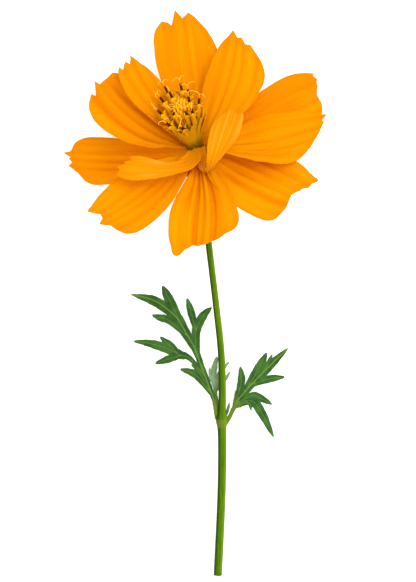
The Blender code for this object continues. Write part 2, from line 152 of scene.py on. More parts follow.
def finish_piece(bm, name, materials, node=None):
    """Makes the piece from its mesh, closed and facing out, and lets it ride on the flower."""
    bmesh.ops.recalc_face_normals(bm, faces=bm.faces)
    mesh = bpy.data.meshes.new(name)
    bm.to_mesh(mesh)
    bm.free()
    mesh.shade_smooth()
    for material in materials:
        mesh.materials.append(material)
    piece = put_in_scene(name, mesh)
    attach(piece, "root")
    if node:
        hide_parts(node)
    return piece


def dye(red, green, blue):
    """A colour given as display values from 0 to 255, for a shader."""
    levels = [value / 255 for value in (red, green, blue)]
    return (*[v / 12.92 if v <= 0.04045 else ((v + 0.055) / 1.055)**2.4 for v in levels], 1)


class Wire:
    """An output socket. Arithmetic on it adds Math nodes to its material."""

    def __init__(self, finish, socket):
        self.finish = finish
        self.socket = socket

    def math(self, operation, first, second):
        return self.finish.node("ShaderNodeMath", {"operation": operation}, {0: first, 1: second})

    def __add__(self, other):
        return self.math("ADD", self, other)

    def __radd__(self, other):
        return self.math("ADD", other, self)

    def __sub__(self, other):
        return self.math("SUBTRACT", self, other)

    def __mul__(self, other):
        return self.math("MULTIPLY", self, other)

    def __rmul__(self, other):
        return self.math("MULTIPLY", other, self)


class Finish:
    """A plant surface's material, built up node by node."""

    def __init__(self, name):
        self.material = bpy.data.materials.new(name)
        self.material.use_nodes = True
        self.tree = self.material.node_tree
        self.tree.nodes.clear()

    def put(self, socket, value):
        if isinstance(value, Wire):
            self.tree.links.new(value.socket, socket)
        else:
            socket.default_value = value

    def node(self, kind, settings=None, inputs=None, output=0):
        """Adds a node of that type, its settings first and then its sockets' values or wires."""
        made = self.tree.nodes.new(kind)
        for key, value in (settings or {}).items():
            if key == "stops":
                while len(made.color_ramp.elements) < len(value):
                    made.color_ramp.elements.new(1)
                for stop, (place, colour) in zip(made.color_ramp.elements, value):
                    stop.position = place
                    stop.color = colour
            else:
                setattr(made, key, value)
        for key, value in (inputs or {}).items():
            self.put(made.inputs[key], value)
        return Wire(self, made.outputs[output]) if made.outputs else None

    def mix(self, share, first, second):
        """The first colour where the share is 0, and the second where it is 1."""
        return self.node("ShaderNodeMix", {"data_type": "RGBA"}, {0: share, 6: first, 7: second}, 2)

    def measure(self, operation, value):
        """A Math node with one number, such as its COSINE or its ABSOLUTE size."""
        return self.node("ShaderNodeMath", {"operation": operation}, {0: value})

    def attribute(self, name):
        return self.node("ShaderNodeAttribute", {"attribute_name": name}, {}, "Fac")

    def between(self, value, low, high):
        """0 below low, 1 above high, and a smooth rise from one to the other."""
        settings = {"interpolation_type": "SMOOTHSTEP"}
        return self.node("ShaderNodeMapRange", settings, {"Value": value, "From Min": low, "From Max": high})

    def spots(self, vector, scale, detail=2.0, roughness=0.5):
        inputs = {"Vector": vector, "Scale": scale, "Detail": detail, "Roughness": roughness}
        return self.node("ShaderNodeTexNoise", {}, inputs)

    def place(self):
        return self.node("ShaderNodeTexCoord", {}, {}, "Object")

    def stretched(self, vector, scale):
        return self.node("ShaderNodeMapping", {}, {"Vector": vector, "Scale": scale})

    def bump(self, height, distance, strength=1.0):
        return self.node("ShaderNodeBump", {}, {"Height": height, "Distance": distance, "Strength": strength})

    def close(self, colour, roughness, normal=None, glow=None, glow_share=0.0, **constants):
        """Wires the surface: a Principled skin and, for a thin blade, light that comes through it."""
        inputs = {"Base Color": colour, "Roughness": roughness}
        inputs.update({key.replace("_", " "): value for key, value in constants.items()})
        if normal is not None:
            inputs["Normal"] = normal
        surface = self.node("ShaderNodeBsdfPrincipled", {}, inputs)
        if glow:
            through = self.node("ShaderNodeBsdfTranslucent", {}, {"Color": glow})
            surface = self.node("ShaderNodeMixShader", {}, {0: glow_share, 1: surface, 2: through})
        self.node("ShaderNodeOutputMaterial", {}, {"Surface": surface})
        return self.material


def stalk_finish():
    """Yellow-green skin with fine lengthwise streaks, painted shade on its left side and a painted highlight
    on its right side, and duller at the node.
    """
    skin = Finish("stalk_skin")
    place = skin.place()
    streaks = skin.spots(skin.stretched(place, (2600, 90, 2600)), 1.0, 3)
    patches = skin.spots(place, 110, 2)
    right = skin.attribute("right")
    colour = skin.mix(skin.between(streaks, 0.3, 0.7), dye(58, 92, 0), dye(78, 114, 0))
    colour = skin.mix(skin.between(patches, 0.35, 0.75) * 0.4, colour, dye(70, 100, 10))
    # Painted shade darkens the side that faces left, and a painted highlight lightens the side that faces
    # right, as if lit from the right.
    colour = skin.mix(skin.between(right, -0.2, -0.75) * 0.75, colour, dye(22, 36, 0))
    colour = skin.mix(skin.between(right, 0.2, 0.8) * 0.55, colour, dye(108, 140, 22))
    height = skin.node("ShaderNodeSeparateXYZ", {}, {"Vector": place}, "Y")
    from_node = skin.measure("ABSOLUTE", height + NODE_DEPTH * MM)
    colour = skin.mix(skin.between(from_node, 0.0013, 0.0005) * patches * 0.5, colour, dye(132, 132, 60))
    normal = skin.bump(streaks, 0.00006, 0.7)
    return skin.close(colour, 0.5 + streaks * 0.2, normal, Specular_IOR_Level=0.04)


def pith_finish():
    """Pale cut pith with a wet green rim of bundles."""
    pith = Finish("stalk_pith")
    cells = pith.node("ShaderNodeTexVoronoi", {}, {"Vector": pith.place(), "Scale": 5200.0})
    colour = pith.mix(pith.between(cells, 0.1, 0.6), dye(150, 168, 90), dye(104, 132, 44))
    return pith.close(colour, 0.5, pith.bump(cells, 0.00004))


stalk_skin = stalk_finish()
stalk_pith = pith_finish()
neck = HEAD_CENTRE + HEAD_AXIS * NECK_HEIGHT
stalk_points = [Vector(point) for point in STALK_PATH] + [neck]
stalk_centres = [path_point(stalk_points, i / (STALK_RINGS - 1)) for i in range(STALK_RINGS)]
stalk_start = stalk_centres[0].y
stalk_length = neck.y - stalk_start
stalk_shares = [(centre.y - stalk_start) / stalk_length for centre in stalk_centres]
stalk_radii = [profile_value(STALK_RADII, share) for share in stalk_shares]
bm = bmesh.new()
sweep(bm, stalk_centres, stalk_radii, STALK_SIDES, STALK_RIDGES, ridge=STALK_RIDGE_HEIGHT)
cut_end = min(bm.faces, key=lambda face: face.calc_center_median().y)
bmesh.ops.inset_individual(bm, faces=[cut_end], thickness=PITH_RIM * MM, depth=-PITH_DEPTH * MM)
cut_end.material_index = 1
finish_piece(bm, "cut_stalk", [stalk_skin, stalk_pith], "stem")


# Receptacle. The stalk's broad end inside the head, on which every ray, floret and scale stands:
# a low solid cone of green tissue, turned here from its profile.
RECEPTACLE_PROFILE = (
    (0.02, 1.1), (0.9, 1.0), (1.35, 0.7), (1.55, 0.2), (1.5, -1.6), (1.3, -2.6), (1.0, -3.4), (0.02, -3.4))
RECEPTACLE_SIDES = 40
HEAD_RIGHT = HEAD_AXIS.cross(Vector((0, 0, 1))).normalized()
HEAD_BACK = HEAD_AXIS.cross(HEAD_RIGHT)
HEAD_TURN = Matrix((HEAD_RIGHT, HEAD_BACK, HEAD_AXIS)).transposed()


def on_head(angle, radius, height):
    """Point given by its angle round the head's axis, its distance from it and its height along it."""
    turn = math.radians(angle)
    outward = HEAD_RIGHT * math.cos(turn) + HEAD_BACK * math.sin(turn)
    return HEAD_CENTRE + outward * radius + HEAD_AXIS * height


def receptacle_finish():
    tissue = Finish("receptacle_tissue")
    grain = tissue.spots(tissue.place(), 900, 3)
    colour = tissue.mix(tissue.between(grain, 0.3, 0.7), dye(96, 120, 20), dye(150, 150, 40))
    return tissue.close(colour, 0.6, tissue.bump(grain, 0.00008))


bm = bmesh.new()
profile_verts = [bm.verts.new((radius, 0, height)) for radius, height in RECEPTACLE_PROFILE]
profile_edges = [bm.edges.new(pair) for pair in zip(profile_verts, profile_verts[1:])]
bmesh.ops.spin(
    bm, geom=profile_verts + profile_edges, cent=(0, 0, 0), axis=(0, 0, 1), angle=math.tau,
    steps=RECEPTACLE_SIDES, use_merge=True)
bmesh.ops.remove_doubles(bm, verts=bm.verts, dist=0.001)
bmesh.ops.holes_fill(bm, edges=[edge for edge in bm.edges if edge.is_boundary], sides=0)
bmesh.ops.transform(bm, matrix=HEAD_TURN.to_4x4(), verts=bm.verts)
bmesh.ops.translate(bm, vec=HEAD_CENTRE, verts=bm.verts)
bmesh.ops.scale(bm, vec=(MM, MM, MM), verts=bm.verts)
finish_piece(bm, "receptacle_cone", [receptacle_finish()], "receptacle")


# Involucre. Two whorls hold the head from behind: eight broad amber scales pressed to the rays,
# and eight narrow green bracts that spread below them. Each is a thin blade with a few veins.
# Per whorl, named as its nodes: foot as (radius, height); tip radius; then, as in every blade here,
# half widths right and left, trough angle at base and tip, share of the half width at places along it,
# and reach of the end at places across it; and the (angle, tip height) of each blade.
WHORLS = {
    "phyllary": dict(
        base=(2.1, -1.7), tip_radius=8.0, half_width=(1.9, 1.9), trough=(20, 20), thickness=0.22,
        outline=((0, 0.3), (0.3, 0.75), (0.6, 1.0), (0.85, 0.8), (1, 0.12)),
        tip=((-1, 0.93), (0, 1), (1, 0.93)),
        places=((22, -3.4), (67, 0.0), (112, 0.8), (157, -2.6), (-158, -2.4), (-113, -2.6), (-68, -3.8),
                (-23, -3.6))),
    "bract": dict(
        base=(1.9, -2.6), tip_radius=12.0, half_width=(0.6, 0.6), trough=(24, 30), thickness=0.25,
        outline=((0, 0.7), (0.3, 0.9), (0.6, 1.0), (0.85, 0.65), (1, 0.06)),
        tip=((-1, 0.97), (0, 1), (1, 0.97)),
        places=((0, -6.5), (45, -4.5), (90, -2.5), (135, -2.5), (180, -5.0), (-137, -3.6), (-95, -6.0),
                (-45, -8.5))),
}
SCALE_VEIN_TURNS = 44.0
SHOULDER = 0.75
BLADE_STEPS = (12, 26)
FLAT_TROUGH = 0.0001


def straight_value(profile, place):
    """Value on the straight lines between (place, value) pairs."""
    for (x0, y0), (x1, y1) in zip(profile, profile[1:]):
        if place <= x1:
            return y0 + (y1 - y0) * (place - x0) / (x1 - x0)
    return profile[-1][1]


def bezier(points, t):
    a, b, c, d = points
    return (1 - t)**3 * a + 3 * t * (1 - t)**2 * b + 3 * t * t * (1 - t) * c + t**3 * d


def bezier_slope(points, t):
    a, b, c, d = points
    return 3 * (1 - t)**2 * (b - a) + 6 * t * (1 - t) * (c - b) + 3 * t * t * (d - c)


def blade_point(blade, across, along):
    """Point of a blade and the way its face looks there: across runs from -1 to 1, along from 0 to 1.
    The face turns from the head's axis to the blade's own, by way of its lean if it folds right over."""
    past_shoulder = max(abs(across) - SHOULDER, 0) / (1 - SHOULDER)
    rounding = blade.get("corner", 0) * (1 - math.sqrt(max(1 - past_shoulder * past_shoulder, 0)))
    reach = along * (straight_value(blade["tip"], across) - rounding)
    middle = bezier(blade["rib"], reach)
    tangent = bezier_slope(blade["rib"], reach).normalized()
    facing = HEAD_AXIS.lerp(blade["face"], smooth_step(0, 1, reach))
    facing += Vector(blade.get("lean", (0, 0, 0))) * (4 * reach * (1 - reach))
    side = tangent.cross(facing).normalized()
    normal = side.cross(tangent)
    right, left = blade["half_width"]
    if across > 0:
        half_width = profile_value(blade.get("right_outline", blade["outline"]), reach) * right
    else:
        half_width = profile_value(blade["outline"], reach) * left
    base_trough, tip_trough = blade["trough"]
    trough = math.radians(base_trough + (tip_trough - base_trough) * reach) or FLAT_TROUGH
    radius = half_width / trough
    turn = trough * across
    point = middle + side * radius * math.sin(turn) + normal * radius * (1 - math.cos(turn))
    return point, normal * math.cos(turn) - side * math.sin(turn)


def grow_blade(blade, columns, rows, relief, bm=None):
    """A flat grid bent to the blade's surface, with its relief raised on it.
    The relief gives the height in millimetres for a place across and along the blade."""
    bm = bm or bmesh.new()
    uv_layer = bm.loops.layers.uv.get("blade") or bm.loops.layers.uv.new("blade")
    fold_layer = vert_layer(bm, "fold")
    verts = bmesh.ops.create_grid(bm, x_segments=columns, y_segments=rows, size=1)["verts"]
    for vert in verts:
        for loop in vert.link_loops:
            loop[uv_layer].uv = ((vert.co.x + 1) / 2, (vert.co.y + 1) / 2)
    for vert in verts:
        across = vert.co.x
        along = (vert.co.y + 1) / 2
        point, facing = blade_point(blade, across, along)
        height = relief(across, along)
        vert[fold_layer] = height
        vert.co = (point + facing * height) * MM
    return bm


def thicken(piece, thickness, offset=0.0):
    solidify = piece.modifiers.new("thickness", "SOLIDIFY")
    solidify.thickness = thickness * MM
    solidify.offset = offset
    solidify.use_even_offset = True


def blade_place(finish, axis):
    """Place from 0 to 1 on a blade: across it for axis X, along it for axis Y."""
    return finish.node("ShaderNodeSeparateXYZ", {}, {"Vector": finish.node("ShaderNodeUVMap")}, axis)


def scale_finish():
    """Papery amber scale: brown veins along it, and a pale clear margin."""
    scale = Finish("scale_paper")
    veins = 0.5 + 0.5 * scale.measure("COSINE", blade_place(scale, "X") * SCALE_VEIN_TURNS)
    fibres = scale.spots(scale.stretched(scale.node("ShaderNodeUVMap"), (26, 3, 1)), 1.0, 3)
    colour = scale.mix(scale.between(veins, 0.7, 1.0) * 0.6, dye(196, 140, 60), dye(140, 78, 24))
    colour = scale.mix(scale.between(blade_place(scale, "Y"), 0.45, 0.0) * 0.7, colour, dye(120, 128, 40))
    colour = scale.mix(scale.between(fibres, 0.35, 0.7) * 0.35, colour, dye(226, 176, 96))
    return scale.close(colour, 0.5, scale.bump(veins * 0.6 + fibres, 0.00008), dye(214, 150, 60), 0.25)


def bract_finish():
    """Green bract with a paler midrib and a yellowish tip."""
    bract = Finish("bract_green")
    from_midrib = bract.measure("ABSOLUTE", blade_place(bract, "X") * 2.0 - 1.0)
    cells = bract.spots(bract.place(), 1400, 3)
    colour = bract.mix(bract.between(cells, 0.3, 0.7), dye(40, 96, 36), dye(66, 128, 52))
    colour = bract.mix(bract.between(from_midrib, 0.2, 0.0), colour, dye(120, 160, 84))
    colour = bract.mix(bract.between(blade_place(bract, "Y"), 0.85, 1.0) * 0.6, colour, dye(150, 150, 60))
    return bract.close(colour, 0.5, bract.bump(cells, 0.00006), dye(96, 150, 40), 0.2)


def scale_relief(across, along):
    return 0.06 * math.cos(22 * across) + 0.12 * math.sin(5 * along) * across * across


def bract_relief(across, along):
    return -0.10 * math.exp(-(across / 0.3)**2) * (1 - along)


def whorl_rib(angle, tip_height, base, tip_radius):
    foot_radius, foot_height = base
    rib = []
    for share in (0, 1 / 3, 2 / 3, 1):
        radius = foot_radius + (tip_radius - foot_radius) * share
        rib.append(on_head(angle, radius, foot_height + (tip_height - foot_height) * share**1.3))
    return rib


def grow_whorl(node, name, material, relief):
    whorl = WHORLS[node]
    for number, (angle, tip_height) in enumerate(whorl["places"], 1):
        rib = whorl_rib(angle, tip_height, whorl["base"], whorl["tip_radius"])
        bm = grow_blade(dict(whorl, rib=rib, face=HEAD_AXIS), *BLADE_STEPS, relief)
        piece = finish_piece(bm, f"{name}_{number:02d}", [material], f"{node}_{number:02d}")
        thicken(piece, whorl["thickness"])


grow_whorl("phyllary", "inner_scale", scale_finish(), scale_relief)
bract_green = bract_finish()
grow_whorl("bract", "outer_bract", bract_green, bract_relief)


# Rays. Twelve orange petals in two loose whorls, each a thin limb on a narrow claw, pleated along
# its veins and toothed at its end. Two small inner ones curl over the throat and show their backs.
RAY_RADIUS = 2.3
RAY_THICKNESS = 0.2
RAY_STEPS = (96, 84)
RAY_OUTLINE = ((0, 0.18), (0.12, 0.40), (0.3, 0.68), (0.5, 0.90), (0.7, 1.0), (0.86, 0.98), (1, 0.86))
RAY_CORNER = 0.1
# Per ray: angle and height of its claw; three more points of its midrib from the head's centre; the
# way its end faces, and the lean of one that folds over; the widths, trough and toothed end of every
# blade, with a right outline where the two sides differ; and its folds as (place across, height,
# width), grooves being negative.
RAYS = {
    "petal_top": dict(
        angle=82, height=-0.7, rib=((0.7, 7.3, -3.0), (-1.9, 18.8, -8.8), (-3.5, 32.4, -10.0)),
        face=(0.05, -0.25, 1), half_width=(7.5, 7.5), trough=(50, 12),
        outline=((0, 0.16), (0.12, 0.30), (0.3, 0.56), (0.5, 0.84), (0.7, 1.0), (0.86, 0.98), (1, 0.86)),
        tip=((-1, 0.94), (-0.85, 0.94), (-0.72, 0.96), (-0.5, 0.95), (-0.38, 0.93), (-0.22, 1.02),
             (0.02, 0.965), (0.25, 0.995), (0.45, 0.965), (0.7, 0.89), (1, 0.76)),
        folds=((-0.62, -0.12, 0.12), (-0.38, -0.2, 0.1), (-0.15, 0.15, 0.14), (0.02, -0.22, 0.09),
               (0.16, 0.25, 0.12), (0.45, -0.2, 0.16), (0.75, 0.2, 0.2))),
    "petal_upper_right": dict(
        angle=50, height=0.6, rib=((4.6, 6.0, 2.0), (9.2, 16.0, -2.5), (9.6, 27.8, -5.5)),
        face=(-0.15, -0.25, 1), half_width=(8.6, 5.3), trough=(50, 20),
        outline=((0, 0.2), (0.12, 0.42), (0.3, 0.8), (0.5, 1.02), (0.68, 1.02), (0.86, 0.86), (1, 0.68)),
        tip=((-1, 0.87), (-0.75, 0.925), (-0.5, 0.97), (-0.3, 1.0), (0.02, 0.945), (0.15, 0.95),
             (0.3, 0.90), (0.48, 0.895), (0.7, 0.825), (1, 0.74)),
        folds=((-0.55, -0.15, 0.14), (-0.3, 0.2, 0.14), (-0.08, -0.18, 0.08), (0.06, 0.14, 0.08),
               (0.18, -0.18, 0.07), (0.4, 0.2, 0.16), (0.6, -0.12, 0.1), (0.85, 0.2, 0.15))),
    "petal_right_rear": dict(
        angle=16, height=-0.9, rib=((9.0, 3.2, -4.0), (20.6, 11.2, -8.5), (28.6, 14.4, -11.3)),
        face=(0.1, 0.1, 1), half_width=(6.8, 6.0), trough=(40, 10),
        outline=((0, 0.36), (0.12, 0.66), (0.3, 0.8), (0.5, 0.92), (0.7, 1.0), (0.86, 0.98), (1, 0.86)),
        right_outline=RAY_OUTLINE,
        tip=((-1, 0.92), (-0.8, 1.015), (-0.72, 0.995), (-0.5, 1.02), (-0.42, 1.01), (-0.2, 1.005),
             (0.1, 0.97), (0.6, 0.96), (1, 0.92)),
        folds=((-0.7, -0.15, 0.1), (-0.5, 0.15, 0.1), (-0.32, -0.25, 0.1), (-0.08, -0.15, 0.08),
               (0.15, -0.3, 0.15), (0.5, 0.25, 0.18))),
    "petal_right_front": dict(
        angle=-6, height=0.0, rib=((8.8, 0.3, 6.0), (20.2, 0.6, 3.0), (30.1, 5.6, 1.0)),
        face=(-0.05, 0.25, 1), half_width=(8.3, 6.6), trough=(50, 22),
        outline=((0, 0.18), (0.12, 0.36), (0.3, 0.72), (0.5, 0.96), (0.65, 0.99), (0.86, 0.8), (1, 0.56)),
        tip=((-1, 0.94), (-0.8, 0.98), (-0.6, 1.03), (-0.38, 0.975), (-0.25, 0.985), (0.1, 0.93),
             (0.45, 0.84), (1, 0.68)),
        folds=((-0.6, -0.12, 0.1), (-0.35, 0.15, 0.12), (-0.1, -0.22, 0.08), (0.05, 0.16, 0.08),
               (0.2, -0.25, 0.08), (0.34, 0.15, 0.07), (0.48, -0.22, 0.08), (0.75, 0.25, 0.2))),
    "petal_lower_right": dict(
        angle=-42, height=-0.4, rib=((7.3, -3.4, 5.0), (16.6, -9.0, 9.0), (24.4, -11.9, 8.0)),
        face=(0.25, 0.35, 1), half_width=(10.0, 8.0), trough=(40, 12),
        outline=((0, 0.18), (0.12, 0.4), (0.3, 0.8), (0.5, 1.04), (0.68, 1.04), (0.86, 0.94), (1, 0.78)),
        tip=((-1, 1.11), (-0.92, 1.12), (-0.7, 1.025), (-0.54, 1.01), (-0.34, 0.95), (0, 0.88),
             (0.4, 0.88), (1, 0.83)),
        folds=((-0.75, 0.15, 0.14), (-0.55, -0.22, 0.08), (-0.42, 0.14, 0.07), (-0.28, -0.25, 0.08),
               (-0.12, 0.16, 0.08), (0.05, -0.22, 0.07), (0.16, 0.16, 0.07), (0.3, -0.38, 0.11),
               (0.6, 0.25, 0.2))),
    "petal_bottom": dict(
        angle=-105, height=-0.2, rib=((2.3, -6.4, 10.0), (2.5, -15.5, 15.0), (1.2, -23.7, 13.0)),
        face=(0, -0.2, 1), half_width=(8.2, 8.3), trough=(50, 16),
        outline=((0, 0.12), (0.12, 0.2), (0.3, 0.48), (0.5, 0.79), (0.7, 0.98), (0.86, 0.98), (1, 0.84)),
        right_outline=((0, 0.1), (0.12, 0.16), (0.3, 0.45), (0.5, 0.79), (0.7, 0.98), (0.86, 0.98),
                       (1, 0.84)),
        tip=((-1, 0.78), (-0.85, 0.785), (-0.6, 0.82), (-0.45, 0.86), (-0.1, 0.925), (0.15, 0.955),
             (0.3, 0.955), (0.5, 0.99), (0.68, 1.05), (0.86, 1.07), (1, 1.08)),
        folds=((-0.6, 0.3, 0.2), (-0.25, -0.65, 0.1), (-0.1, 0.4, 0.08), (0.04, -0.4, 0.06),
               (0.12, 0.2, 0.05), (0.24, -0.7, 0.09), (0.42, 0.35, 0.1), (0.58, -0.2, 0.09),
               (0.8, 0.2, 0.14))),
    "petal_lower_left": dict(
        angle=-148, height=-0.75, rib=((-5.4, -4.2, 6.0), (-13.2, -13.2, 11.0), (-21.9, -16.9, 10.0)),
        face=(-0.2, 0.3, 1), half_width=(6.5, 8.3), trough=(45, 14),
        outline=((0, 0.18), (0.12, 0.38), (0.3, 0.75), (0.5, 1.04), (0.7, 1.02), (0.86, 0.88), (1, 0.7)),
        right_outline=((0, 0.2), (0.12, 0.42), (0.3, 0.8), (0.5, 1.05), (0.7, 1.02), (0.86, 0.88),
                       (1, 0.7)),
        tip=((-1, 0.86), (-0.8, 0.875), (-0.3, 0.93), (-0.1, 1.0), (0.05, 0.96), (0.3, 0.96),
             (0.7, 1.06), (0.9, 1.02), (1, 1.0)),
        folds=((-0.75, 0.2, 0.18), (-0.5, -0.2, 0.1), (-0.32, 0.14, 0.09), (-0.18, -0.22, 0.07),
               (-0.04, 0.15, 0.08), (0.1, -0.22, 0.08), (0.28, 0.14, 0.08), (0.42, -0.16, 0.08),
               (0.7, 0.18, 0.15))),
    "petal_left": dict(
        angle=162, height=-0.6, rib=((-7.1, -2.4, -3.0), (-20.0, -3.0, -8.4), (-30.3, -1.7, -11.3)),
        face=(-0.1, 0.1, 1), half_width=(5.6, 6.2), trough=(45, 10),
        outline=((0, 0.26), (0.12, 0.5), (0.3, 0.74), (0.5, 0.92), (0.7, 1.0), (0.86, 0.98), (1, 0.86)),
        tip=((-1, 0.80), (-0.5, 0.90), (-0.25, 0.98), (-0.12, 0.95), (0.05, 0.985), (0.12, 0.97), (0.3, 1.03),
             (0.42, 0.975), (0.7, 0.955), (1, 0.93)),
        folds=((-0.6, 0.2, 0.18), (-0.3, -0.3, 0.09), (-0.15, 0.14, 0.08), (0.0, -0.3, 0.09),
               (0.2, 0.16, 0.1), (0.38, -0.16, 0.09), (0.65, 0.14, 0.15))),
    "petal_upper_left": dict(
        angle=143, height=0.3, rib=((-6.4, 1.8, 2.0), (-15.8, 5.5, 0.0), (-22.9, 15.6, -2.0)),
        face=(0.1, 0.1, 1), half_width=(6.9, 7.0), trough=(55, 22),
        tip=((-1, 0.86), (-0.7, 0.915), (-0.4, 0.955), (-0.3, 0.93), (-0.05, 1.01), (0.05, 0.975),
             (0.4, 0.98), (0.7, 0.985), (1, 0.94)),
        folds=((-0.7, 0.35, 0.22), (-0.34, -0.6, 0.12), (-0.12, 0.25, 0.1), (0.06, -0.22, 0.08),
               (0.22, 0.18, 0.1), (0.4, -0.22, 0.1), (0.6, 0.14, 0.12))),
    "petal_upper_left_front": dict(
        angle=112, height=0.3, rib=((-4.3, 5.4, 1.5), (-10.5, 11.5, 1.4), (-15.1, 20.8, -0.5)),
        face=(0.45, -0.1, 1), half_width=(3.4, 5.8), trough=(60, 28),
        outline=((0, 0.13), (0.12, 0.24), (0.3, 0.52), (0.5, 0.82), (0.7, 1.0), (0.86, 0.98), (1, 0.86)),
        tip=((-1, 0.93), (-0.75, 0.96), (-0.6, 0.93), (-0.3, 0.99), (-0.15, 0.955), (0.1, 1.02),
             (0.4, 0.965), (0.7, 0.89), (1, 0.78)),
        folds=((-0.7, 0.16, 0.18), (-0.4, -0.2, 0.1), (-0.2, 0.14, 0.1), (0.0, -0.22, 0.09),
               (0.2, 0.16, 0.1), (0.5, -0.2, 0.12), (0.85, 0.2, 0.15))),
    "petal_inner_left": dict(
        angle=-116, height=1.4, rib=((2.0, -5.8, 8.0), (-7.4, -5.6, 14.0), (-17.5, -4.2, 12.0)),
        face=(-0.1, 0.3, 1), half_width=(2.8, 3.1), trough=(70, -16),
        outline=((0, 0.3), (0.12, 0.6), (0.25, 0.84), (0.4, 0.84), (0.55, 0.7), (0.7, 0.8), (0.86, 1.02),
                 (1, 0.98)),
        right_outline=((0, 0.4), (0.12, 0.9), (0.25, 1.1), (0.4, 0.8), (0.55, 0.6), (0.7, 0.78), (0.86, 1.02),
                       (1, 0.98)),
        tip=((-1, 0.98), (-0.7, 1.0), (-0.35, 0.98), (-0.15, 1.005), (0.1, 0.96), (0.35, 0.95),
             (0.5, 0.91), (0.85, 0.92), (1, 0.88)),
        folds=((-0.6, -0.12, 0.14), (-0.2, 0.12, 0.14), (0.15, -0.16, 0.08), (0.5, -0.2, 0.08),
               (0.98, -0.1, 0.05))),
    "petal_inner_right": dict(
        angle=-60, height=1.2, rib=((1.8, -8.8, 12.0), (3.0, -7.2, 16.5), (8.0, 7.5, 15.0)),
        face=(0, -0.1, -1), lean=(-0.3, 1.4, 0), half_width=(3.3, 3.3), trough=(30, 24),
        outline=((0, 0.3), (0.12, 0.36), (0.3, 0.34), (0.42, 0.2), (0.5, 0.18), (0.6, 0.42), (0.7, 0.7),
                 (0.8, 0.9), (0.9, 1.0), (1, 1.0)),
        tip=((-1, 0.98), (-0.7, 1.01), (-0.35, 0.995), (0, 1.015), (0.4, 0.985), (0.75, 0.95), (1, 0.93)),
        folds=((-0.75, -0.25, 0.1), (-0.3, -0.3, 0.09), (0.15, -0.3, 0.09), (0.6, -0.25, 0.1))),
}
RAY_PLEATS = 9
RAY_PLEAT_HEIGHT = 0.02
RAY_WAVE_HEIGHT = 0.35


def ray_relief(ray, seed):
    """Height of a ray's surface over its smooth form: folds, fine pleats and a waving margin."""
    def height(across, along):
        grown = smooth_step(0.03, 0.4, along)
        total = 0
        for centre, rise, width in ray["folds"]:
            total += rise * math.exp(-((across - centre) / width)**2)
        total += RAY_PLEAT_HEIGHT * math.cos(RAY_PLEATS * math.tau * across + 1.5 * math.sin(3 * along))
        wave = noise.noise(Vector((across * 1.3 + seed, along * 3.2, seed * 2.7)))
        flutter = noise.noise(Vector((across * 0.7 + seed * 5, along * 7.5, 4.0)))
        total += RAY_WAVE_HEIGHT * (wave + 0.8 * flutter * abs(across)**3)
        return total * grown
    return height


def ray_finish(name, pale):
    """Velvety orange limb: painted shade in the grooves, a painted highlight on the ridges, a yellower claw,
    deeper orange teeth and fine veins.
    The reverse of a ray is paler by the given share, and more so on its ribs."""
    limb = Finish(name)
    along = blade_place(limb, "Y")
    uv = limb.node("ShaderNodeUVMap")
    fold = limb.attribute("fold")
    veins = limb.spots(limb.stretched(uv, (34, 1.2, 1)), 1.0, 2, 0.55)
    bands = limb.spots(limb.stretched(uv, (9, 0.7, 1)), 1.0, 1)
    cells = limb.spots(limb.place(), 2600, 2)
    colour = limb.mix(limb.between(bands, 0.3, 0.7), dye(224, 140, 0), dye(232, 153, 0))
    colour = limb.mix(limb.between(veins, 0.48, 0.85) * 0.35, colour, dye(214, 122, 0))
    # Painted shade deepens the orange in the grooves, and a painted highlight yellows the ridges, both read
    # from the fold height.
    colour = limb.mix(limb.between(fold, -0.05, -0.55) * 0.45, colour, dye(196, 108, 0))
    colour = limb.mix(limb.between(fold, 0.05, 0.5) * 0.35, colour, dye(240, 166, 0))
    colour = limb.mix(limb.between(along, 0.5, 0.1) * 0.7, colour, dye(240, 164, 0))
    colour = limb.mix(limb.between(along, 0.88, 1.0) * 0.35, colour, dye(226, 126, 0))
    if pale:
        ribs = limb.between(fold, -0.12, -0.27)
        colour = limb.mix(pale + ribs * (0.65 - pale), colour, dye(244, 168, 44))
    normal = limb.bump(veins * 0.7 + cells * 0.3, 0.00008, 0.5)
    return limb.close(colour, 0.65 + cells * 0.15, normal, dye(236, 140, 0), 0.3, Specular_IOR_Level=0.015)


ray_limb = ray_finish("ray_limb", 0)
ray_reverse = ray_finish("ray_reverse", 0.06)
for number, (node, ray) in enumerate(RAYS.items(), 1):
    claw = on_head(ray["angle"], RAY_RADIUS, ray["height"])
    ray_blade = dict(ray, outline=ray.get("outline", RAY_OUTLINE), corner=RAY_CORNER)
    ray_blade["face"] = Vector(ray["face"]).normalized()
    ray_blade["rib"] = [claw] + [HEAD_CENTRE + Vector(point) for point in ray["rib"]]
    bm = grow_blade(ray_blade, *RAY_STEPS, ray_relief(ray, number))
    limb_finish = ray_reverse if "inner" in node else ray_limb
    thicken(finish_piece(bm, node.replace("petal", "ray"), [limb_finish], node), RAY_THICKNESS)


# Open florets of the disc. Each is a green seed ovary, a yellow tube that flares into five pointed
# lobes, a dark brown column of joined anthers with an orange top, and a style with two curled arms.
FLORET_BASE_HEIGHT = 1.45
OUTER_FLORET_BASE = 1.55
OUTER_FLORETS = (
    (-144, 5.8, 12.0), (-105, 6.1, 11.0), (-52, 3.9, 13.0), (-8, 5.0, 13.5), (38, 4.0, 15.0),
    (72, 6.6, 15.0), (104, 7.1, 15.5), (134, 5.4, 15.0), (168, 5.6, 13.5))
INNER_FLORET_BASE = 0.8
INNER_FLORETS = ((112, 3.2, 16.0), (-165, 2.4, 13.0), (-72, 2.2, 12.5), (5, 2.7, 14.5))
